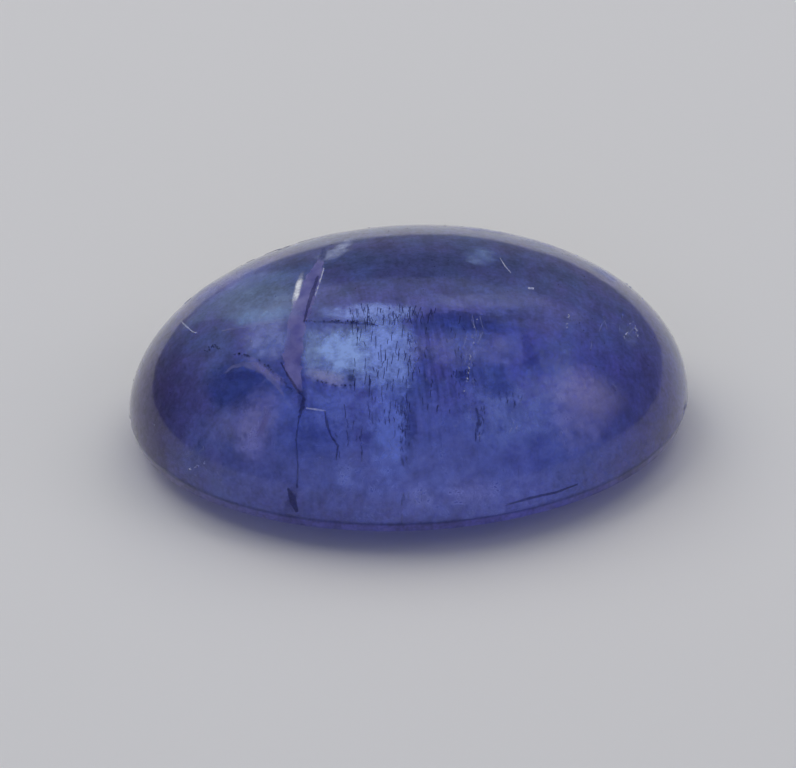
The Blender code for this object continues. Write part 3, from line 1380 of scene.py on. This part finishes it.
@dataclass(frozen=True)
class HealedFissures:
    """Strings of tiny fluid drops and platelets along healed cracks, set by Geometry Nodes."""

    name: str
    lines: dict[str, Line]
    seed: int
    depth: float
    spacing: float
    scatter: float
    smallest: float
    largest: float
    gap_size: float
    gap_share: float

    @staticmethod
    @cache
    def tree() -> bpy.types.NodeTree:
        """Build the tree that sets platelets along the guide lines, with gaps in places.

        Returns:
            The tree, which all fissures share.
        """
        tree = named_tree("healed_fissure", {
            "Spacing": "NodeSocketFloat", "Scatter": "NodeSocketFloat", "Smallest": "NodeSocketFloat",
            "Largest": "NodeSocketFloat", "Gap Size": "NodeSocketFloat", "Gap Share": "NodeSocketFloat",
            "Seed": "NodeSocketInt", "Finish": "NodeSocketMaterial"})
        given = tree.nodes["Group Input"].outputs
        curve = add(tree, "GeometryNodeMeshToCurve", inputs={"Mesh": given["Geometry"]})
        spaced = add(tree, "GeometryNodeResampleCurve", {"mode": "LENGTH"}, {
            "Curve": curve.outputs[0], "Length": given["Spacing"]})
        low = add(tree, "ShaderNodeMath", {"operation": "MULTIPLY"}, {0: given["Scatter"], 1: -1.0})
        jitter = add(tree, "FunctionNodeRandomValue", {"data_type": "FLOAT_VECTOR"}, {
            0: low.outputs[0], 1: given["Scatter"], "Seed": given["Seed"]})
        moved = add(tree, "GeometryNodeSetPosition", inputs={
            "Geometry": spaced.outputs[0], "Offset": jitter.outputs[0]})
        fineness = add(tree, "ShaderNodeMath", {"operation": "DIVIDE"}, {0: 1.0, 1: given["Gap Size"]})
        gaps = add(tree, "ShaderNodeTexNoise", inputs={"Scale": fineness.outputs[0]})
        open_here = add(tree, "FunctionNodeCompare", {"data_type": "FLOAT", "operation": "GREATER_THAN"}, {
            0: gaps.outputs["Fac"], 1: given["Gap Share"]})
        size = add(tree, "FunctionNodeRandomValue", {"data_type": "FLOAT_VECTOR"}, {
            0: given["Smallest"], 1: given["Largest"], "Seed": given["Seed"]})
        spin = add(tree, "FunctionNodeRandomValue", {"data_type": "FLOAT_VECTOR"}, {
            0: (0.0, 0.0, 0.0), 1: (2 * math.pi,) * 3, "Seed": given["Seed"]})
        drop = add(tree, "GeometryNodeMeshIcoSphere", inputs={"Radius": 1.0, "Subdivisions": 1})
        strung = add(tree, "GeometryNodeInstanceOnPoints", inputs={
            "Points": moved.outputs[0], "Instance": drop.outputs[0], "Rotation": spin.outputs[0],
            "Scale": size.outputs[0], "Selection": open_here.outputs[0]})
        end_tree(tree, strung.outputs[0], given["Finish"])
        return tree

    def build(self, form: CabochonForm, finish: bpy.types.Material) -> bpy.types.Object:
        """Lay the guide lines and run the tree on them.

        Args:
            form: the stone.
            finish: the drops' material.

        Returns:
            The piece.
        """
        guide = guide_lines(form, tuple(self.lines.values()), self.depth)
        return run_tree(self.name, guide, self.tree(), {
            "Spacing": self.spacing, "Scatter": self.scatter, "Smallest": self.smallest,
            "Largest": self.largest, "Gap Size": self.gap_size, "Gap Share": self.gap_share,
            "Seed": self.seed, "Finish": finish})


PALE_FISSURES = HealedFissures(
    "pale_healed_fissures", seed=3, depth=-0.007 * MM, spacing=0.018 * MM, scatter=0.022 * MM,
    smallest=0.004 * MM, largest=0.022 * MM, gap_size=0.12 * MM, gap_share=0.5, lines={
        "string down the middle": (
            (480, 313), (475, 325), (471, 337), (474, 341), (470, 358), (468, 377), (465, 392)),
        "hook right of the middle": ((509, 434), (514, 420), (517, 430)),
        "dash beside the hook": ((478, 438), (484, 424)),
        "dash at the left edge": ((206, 462), (190, 470)),
        "first dash at the right": ((624, 338), (632, 322)),
        "second dash at the right": ((634, 324), (638, 342)),
        "dash at the upper right": ((566, 328), (569, 315)),
    })
DARK_FISSURES = HealedFissures(
    "dark_healed_fissures", seed=4, depth=-0.006 * MM, spacing=0.012 * MM, scatter=0.035 * MM,
    smallest=0.005 * MM, largest=0.024 * MM, gap_size=0.15 * MM, gap_share=0.46, lines={
        "dotted rim of the dark dome": (
            (232, 356), (242, 355), (253, 358), (264, 364), (273, 372), (283, 382), (292, 391)),
        "line over the window": ((304, 321), (330, 322), (356, 323), (378, 326)),
        "line under the window": ((304, 377), (318, 382), (334, 386), (350, 387)),
        "bow at the left": ((206, 352), (214, 346), (222, 352)),
    })


@dataclass(frozen=True)
class GrowthTubes:
    """Fine hollow tubes and needles that grew along the crystal, as threads down the stone's face."""

    name: str
    patches: dict[str, ThreadPatch]
    seed: int
    radius: float
    depth: float
    lean: float = 1.0
    bow: float = 0.6
    shortest_share: float = 0.25
    sides: int = 6

    @staticmethod
    @cache
    def tree() -> bpy.types.NodeTree:
        """Build the tree that gives each guide line its tube.

        Returns:
            The tree, which all tubes share.
        """
        tree = named_tree("growth_tube", {
            "Radius": "NodeSocketFloat", "Sides": "NodeSocketInt", "Finish": "NodeSocketMaterial"})
        given = tree.nodes["Group Input"].outputs
        curve = add(tree, "GeometryNodeMeshToCurve", inputs={"Mesh": given["Geometry"]})
        ring = add(tree, "GeometryNodeCurvePrimitiveCircle", inputs={
            "Resolution": given["Sides"], "Radius": given["Radius"]})
        tube = add(tree, "GeometryNodeCurveToMesh", inputs={
            "Curve": curve.outputs[0], "Profile Curve": ring.outputs[0], "Fill Caps": True})
        end_tree(tree, tube.outputs[0], given["Finish"])
        return tree

    def build(self, form: CabochonForm, finish: bpy.types.Material) -> bpy.types.Object:
        """Lay the tubes' guide lines patch by patch, and run the tree.

        Args:
            form: the stone.
            finish: the tubes' material.

        Returns:
            The piece.
        """
        rng = random.Random(self.seed)
        lines = []
        for patch in self.patches.values():
            for _ in range(patch.count):
                x = patch.middle[0] + rng.uniform(-1, 1) * patch.reach[0]
                y = patch.middle[1] + rng.uniform(-1, 1) * patch.reach[1]
                half = patch.length / 2 * rng.uniform(self.shortest_share, 1.0)
                lean = self.lean * rng.uniform(-1.0, 1.0)
                bow = rng.uniform(-self.bow, self.bow)
                lines.append(((x + lean, y - half), (x + bow, y), (x - lean, y + half)))
        return run_tree(self.name, guide_lines(form, lines, self.depth), self.tree(), {
            "Radius": self.radius, "Sides": self.sides, "Finish": finish})


DARK_TUBES = GrowthTubes("growth_tubes", seed=11, radius=0.0105 * MM, depth=0.004 * MM, patches={
    "window": ThreadPatch((384, 346), (32, 40), 70, 13),
    "band over the window": ThreadPatch((392, 316), (46, 7), 50, 8),
    "column under the window": ThreadPatch((388, 404), (22, 30), 30, 12),
    "right of the window": ThreadPatch((440, 366), (36, 46), 34, 9),
    "under the fracture": ThreadPatch((346, 432), (16, 28), 12, 14),
    "short crack": ThreadPatch((480, 424), (5, 16), 18, 8),
    "line down the middle": ThreadPatch((405, 432), (5, 36), 26, 9),
    "lower edge": ThreadPatch((430, 500), (30, 20), 8, 15),
    "dark spot in the middle": ThreadPatch((462, 376), (9, 8), 14, 7),
    "dark patch right of the middle": ThreadPatch((510, 402), (12, 9), 10, 7),
})
PALE_NEEDLES = GrowthTubes("pale_needles", seed=17, radius=0.006 * MM, depth=0.003 * MM, lean=4.0, patches={
    "right of the middle": ThreadPatch((490, 410), (36, 28), 16, 12),
    "right shoulder": ThreadPatch((600, 330), (44, 34), 12, 10),
    "string down the middle": ThreadPatch((475, 360), (10, 40), 12, 16),
    "window": ThreadPatch((340, 350), (30, 30), 8, 14),
    "left edge": ThreadPatch((200, 462), (24, 16), 10, 6),
    "lower half": ThreadPatch((430, 440), (200, 60), 26, 9),
})


@dataclass(frozen=True)
class PinpointCrystals:
    """Tiny grains and polish pits just under the dome, scattered by Geometry Nodes."""

    name: str
    seed: int
    per_square_metre: float
    depth: float
    smallest: float = 0.005 * MM
    largest: float = 0.017 * MM
    rarity: float = 4.0
    edge_gap: float = 0.1 * MM

    @staticmethod
    @cache
    def tree() -> bpy.types.NodeTree:
        """Build the tree that scatters grains on the dome, the larger the rarer.

        Returns:
            The tree, which all grains share.
        """
        tree = named_tree("pinpoints", {
            "Density": "NodeSocketFloat", "Lowest": "NodeSocketFloat", "Smallest": "NodeSocketFloat",
            "Largest": "NodeSocketFloat", "Rarity": "NodeSocketFloat", "Depth": "NodeSocketFloat",
            "Seed": "NodeSocketInt", "Finish": "NodeSocketMaterial"})
        given = tree.nodes["Group Input"].outputs
        here = add(tree, "GeometryNodeInputPosition").outputs[0]
        height = add(tree, "ShaderNodeSeparateXYZ", inputs={0: here}).outputs["Z"]
        on_dome = add(tree, "FunctionNodeCompare", {"data_type": "FLOAT", "operation": "GREATER_THAN"}, {
            0: height, 1: given["Lowest"]})
        points = add(tree, "GeometryNodeDistributePointsOnFaces", inputs={
            "Mesh": given["Geometry"], "Selection": on_dome.outputs[0], "Density": given["Density"],
            "Seed": given["Seed"]})
        depth = add(tree, "ShaderNodeMath", {"operation": "MULTIPLY"}, {0: given["Depth"], 1: -1.0})
        inward = add(tree, "ShaderNodeVectorMath", {"operation": "SCALE"}, {
            0: points.outputs["Normal"], "Scale": depth.outputs[0]})
        sunk = add(tree, "GeometryNodeSetPosition", inputs={
            "Geometry": points.outputs["Points"], "Offset": inward.outputs[0]})
        chance = add(tree, "FunctionNodeRandomValue", {"data_type": "FLOAT"}, {"Seed": given["Seed"]})
        rare = add(tree, "ShaderNodeMath", {"operation": "POWER"}, {
            0: chance.outputs[RANDOM_NUMBER], 1: given["Rarity"]})
        size = add(tree, "ShaderNodeMapRange", inputs={
            "Value": rare.outputs[0], "To Min": given["Smallest"], "To Max": given["Largest"]})
        grain = add(tree, "GeometryNodeMeshIcoSphere", inputs={"Radius": 1.0, "Subdivisions": 1})
        grains = add(tree, "GeometryNodeInstanceOnPoints", inputs={
            "Points": sunk.outputs[0], "Instance": grain.outputs[0], "Scale": size.outputs[0],
            "Rotation": points.outputs["Rotation"]})
        end_tree(tree, grains.outputs[0], given["Finish"])
        return tree

    def build(self, form: CabochonForm, stone: bpy.types.Object,
              finish: bpy.types.Material) -> bpy.types.Object:
        """Scatter grains under the dome of the built stone.

        Args:
            form: the stone's form.
            stone: the built stone.
            finish: the grains' material.

        Returns:
            The piece.
        """
        return run_tree(self.name, stone.data.copy(), self.tree(), {
            "Density": self.per_square_metre, "Lowest": form.girdle_height + self.edge_gap,
            "Smallest": self.smallest, "Largest": self.largest, "Rarity": self.rarity,
            "Depth": self.depth, "Seed": self.seed, "Finish": finish})


DARK_PINPOINTS = PinpointCrystals("dark_pinpoints", seed=8, per_square_metre=4.84e6, depth=0.005 * MM)
PALE_PINPOINTS = PinpointCrystals("pale_pinpoints", seed=21, per_square_metre=0.77e6, depth=0.002 * MM)


@dataclass(frozen=True)
class Inclusions:
    """Everything that lies in the crystal, from the main fracture to the specks."""

    form: CabochonForm
    sides: HiddenSides = HiddenSides()
    side_depth: float = 0.004 * MM
    side_spacing: float = 0.018 * MM
    side_scatter: float = 0.012 * MM
    side_smallest: float = 0.004 * MM
    side_largest: float = 0.018 * MM
    side_gap_size: float = 0.12 * MM
    side_gap_share: float = 0.48
    side_tube_radius: float = 0.010 * MM

    def build(self, stone: bpy.types.Object) -> None:
        """Build every inclusion and set it in the stone.

        Args:
            stone: the built stone.
        """
        pale, dark, wall = FLUID_FILM.make(), HEALED_FILM.make(), TUBE_WALL.make()
        self.set_parts((MAIN_FRACTURE, AIR_FILM.make()), (MilkyVeilsAndPaintedLight(self.sides), VeilAndPaintedLightFinish().make()),
                       (BRIGHT_FILMS, pale), (DARK_FILMS, dark))
        self.dress_hidden_sides(pale, wall)
        self.set_parts((PALE_FISSURES, pale), (DARK_FISSURES, dark), (DARK_TUBES, wall),
                       (PALE_NEEDLES, NEEDLE.make()), (PALE_ARCS, VEIL_EDGE.make()))
        for grains, finish in ((DARK_PINPOINTS, wall), (PALE_PINPOINTS, pale)):
            set_in_stone(grains.build(self.form, stone, finish))

    def set_parts(self, *parts: tuple[Any, bpy.types.Material]) -> None:
        """Build parts with their finishes on the photographed side, and set them in the stone."""
        for part, finish in parts:
            set_in_stone(part.build(self.form, finish))

    def dress_hidden_sides(self, pale: bpy.types.Material, dark: bpy.types.Material) -> None:
        """Carry the fissures and threads round to the hidden sides.

        Args:
            pale: the finish of the fissures on every other side.
            dark: the finish of the other fissures and of the threads.
        """
        rng = random.Random(self.sides.seed + 1)
        for index, side in enumerate(self.sides.forms(self.form)):
            fissures = HealedFissures(
                f"side_fissures_{index + 1}", self.sides.some_lines(rng), index, self.side_depth,
                self.side_spacing, self.side_scatter, self.side_smallest, self.side_largest,
                self.side_gap_size, self.side_gap_share)
            set_in_stone(fissures.build(side, (pale, dark)[index % 2]))
            tubes = GrowthTubes(f"side_tubes_{index + 1}", self.sides.some_patches(rng), index,
                                self.side_tube_radius, self.side_depth)
            set_in_stone(tubes.build(side, dark))


@dataclass(frozen=True)
class SoftBox:
    """A soft patch of light in the tent round the stone, by its direction and half sizes in degrees.

    Azimuth 0 is behind the stone and 90 is the picture's right.
    """

    name: str
    azimuth: float
    elevation: float
    half_width: float
    half_height: float
    radiance: float
    softness: float
    tint: str = "#ffffff"

    def axes(self, view: PhotoView) -> tuple[Vector, Vector, Vector]:
        """Give the box's side, upward and facing directions.

        Args:
            view: the camera's view, from which the azimuth is counted.

        Returns:
            Three unit vectors, each square to the others.
        """
        facing, level = view.toward(self.azimuth, self.elevation)
        side = Vector((0.0, 0.0, 1.0)).cross(level)
        return side, facing.cross(side), facing


@dataclass(frozen=True)
class RearLamp:
    """A large soft lamp over and behind the stone: it lights the paper and casts a soft shadow."""

    name: str
    azimuth: float
    radiance: float
    elevation: float = 53.0
    distance: float = 0.40
    size: float = 0.34
    tint: str = "#fffbf1"

    def build(self, view: PhotoView) -> None:
        """Hang the lamp and point it at the stone, hidden from the camera and from reflections.

        Args:
            view: the camera's view, from which the azimuth is counted.
        """
        data = bpy.data.lights.new(self.name, "AREA")
        data.size = self.size
        data.color = linear(self.tint)[:3]
        data.energy = self.radiance * math.pi * self.size**2
        lamp = bpy.data.objects.new(self.name, data)
        facing = view.toward(self.azimuth, self.elevation)[0]
        lamp.location = facing * self.distance
        lamp.rotation_euler = facing.to_track_quat("Z", "Y").to_euler()
        lamp.visible_glossy = False
        lamp.visible_camera = False
        bpy.context.scene.collection.objects.link(lamp)


@dataclass(frozen=True)
class Studio:
    """A pale tent with soft boxes, two lamps, and a pale paper floor."""

    view: PhotoView
    tent_radiance: float = 0.17
    tent_tint: str = "#dce9ff"
    boxes: tuple[SoftBox, ...] = (
        SoftBox("tent roof behind the stone", 5, 50, 30, 11, 0.26, 0.08),
        SoftBox("blue window behind at the left", -24, 27, 9, 23, 0.46, 0.10, "#a8d0ff"),
        SoftBox("left glow", -113, 33, 10, 13, 0.6, 1.4, "#fff2ff"),
        SoftBox("right glow", 95, 34, 9, 16, 1.15, 1.4, "#fff4ff"),
        SoftBox("violet glow in front", 180, 16, 34, 20, 0.66, 1.2, "#c0c4ff"),
    )
    box_horizon: float = 0.01
    box_behind: float = 2.0
    box_ahead: float = 1.5
    lamps: tuple[RearLamp, ...] = (
        RearLamp("rear_lamp_left", -56.0, 1.72), RearLamp("rear_lamp_right", 36.0, 1.20))
    paper: str = "#eaeaeb"
    paper_roughness: float = 0.9
    fibre_size: float = 0.25 * MM
    fibre_detail: float = 4.0
    fibre_height: float = 0.01 * MM
    fibre_strength: float = 0.25
    floor_size: float = 2.0
    floor_gap: float = 0.02 * MM

    def build(self) -> None:
        """Make the tent's light, the lamps and the floor."""
        self.make_world()
        self.make_floor()
        for lamp in self.lamps:
            lamp.build(self.view)
        bpy.context.scene.view_settings.view_transform = "Standard"

    def make_world(self) -> None:
        """Shade the world as a tent: an even light, and a soft patch for each box."""
        world = bpy.data.worlds.new("light_tent")
        bpy.context.scene.world = world
        world.use_nodes = True
        tree = world.node_tree
        tree.nodes.clear()
        way = add(tree, "ShaderNodeTexCoord").outputs["Generated"]
        total: Any = tuple(self.tent_radiance * channel for channel in linear(self.tent_tint)[:3])
        for box in self.boxes:
            total = self.with_box(tree, way, box, total)
        light = add(tree, "ShaderNodeBackground", inputs={"Color": total})
        add(tree, "ShaderNodeOutputWorld", inputs={"Surface": light.outputs[0]})

    def with_box(self, tree: bpy.types.NodeTree, way: bpy.types.NodeSocket, box: SoftBox,
                 light: Any) -> bpy.types.NodeSocket:
        """Add one box's radiance to the tent's light.

        The direction is turned to the box's own axes and divided by its way ahead, so that the box is a
        soft-edged rectangle. The way ahead divided by itself is 1 before the box's plane and large behind
        it, and the third channel uses that to keep the box from showing twice.

        Args:
            tree: the world's tree.
            way: the direction looked at.
            box: the box.
            light: the light so far, as a socket or three numbers.

        Returns:
            The light with the box in it.
        """
        local = add(tree, "ShaderNodeMapping", {"label": box.name}, {
            "Vector": way, "Rotation": Matrix(box.axes(self.view)).to_euler()}).outputs[0]
        ahead = add(tree, "ShaderNodeSeparateXYZ", inputs={0: local}).outputs["Z"]
        near = add(tree, "ShaderNodeMath", {"operation": "MAXIMUM"}, {
            0: ahead, 1: self.box_horizon}).outputs[0]
        slopes = add(tree, "ShaderNodeVectorMath", {"operation": "DIVIDE"}, {0: local, 1: near}).outputs[0]
        sizes = add(tree, "ShaderNodeVectorMath", {"operation": "ABSOLUTE"}, {0: slopes}).outputs[0]
        edges = [math.tan(math.radians(half)) for half in (box.half_width, box.half_height)]
        outer, inner = ([edge * (1 + sign * box.softness / 2) for edge in edges] for sign in (1, -1))
        inside = add(tree, "ShaderNodeMapRange", {
            "data_type": "FLOAT_VECTOR", "interpolation_type": "SMOOTHSTEP"}, {
            "Vector": sizes, RANGE_FROM_MIN: (*outer, self.box_behind),
            RANGE_FROM_MAX: (*inner, self.box_ahead), RANGE_TO_MIN: (0.0, 0.0, 0.0),
            RANGE_TO_MAX: (1.0, 1.0, 1.0)}).outputs["Vector"]
        parts = add(tree, "ShaderNodeSeparateXYZ", inputs={0: inside}).outputs
        flat = add(tree, "ShaderNodeMath", {"operation": "MULTIPLY"}, {0: parts[0], 1: parts[1]}).outputs[0]
        share = add(tree, "ShaderNodeMath", {"operation": "MULTIPLY"}, {0: flat, 1: parts[2]}).outputs[0]
        full = tuple(box.radiance * channel for channel in linear(box.tint)[:3])
        return add(tree, "ShaderNodeVectorMath", {"operation": "MULTIPLY_ADD"}, {
            0: full, 1: share, 2: light}).outputs[0]

    def make_floor(self) -> None:
        """Make the floor of matt pressed paper, whose fibre takes away any gloss."""
        bpy.ops.mesh.primitive_plane_add(size=self.floor_size, location=(0.0, 0.0, -self.floor_gap))
        floor = bpy.context.object
        floor.name = "studio_floor"
        material = bpy.data.materials.new("matt_paper")
        material.use_nodes = True
        tree = material.node_tree
        shader = tree.nodes["Principled BSDF"]
        place = add(tree, "ShaderNodeTexCoord").outputs["Object"]
        fibre = add(tree, "ShaderNodeTexNoise", inputs={
            "Vector": place, "Scale": 1 / self.fibre_size, "Detail": self.fibre_detail})
        relief = add(tree, "ShaderNodeBump", inputs={
            "Strength": self.fibre_strength, "Distance": self.fibre_height,
            "Height": fibre.outputs["Fac"]})
        tree.links.new(relief.outputs[0], shader.inputs["Normal"])
        shader.inputs["Base Color"].default_value = linear(self.paper)
        shader.inputs["Roughness"].default_value = self.paper_roughness
        floor.data.materials.append(material)


def main() -> None:
    """Build the studio, the stone and its inclusions, in that order."""
    logging.basicConfig(level=logging.INFO)
    view = PhotoView()
    form = CabochonForm.from_frame(view)
    view.make_camera()
    Studio(view).build()
    stone = PolishedStone(form).build(PolishedTanzanite(form).make())
    set_in_stone(stone, replaced=STONE)
    Inclusions(form).build(stone)


if __name__ == "__main__":
    main()
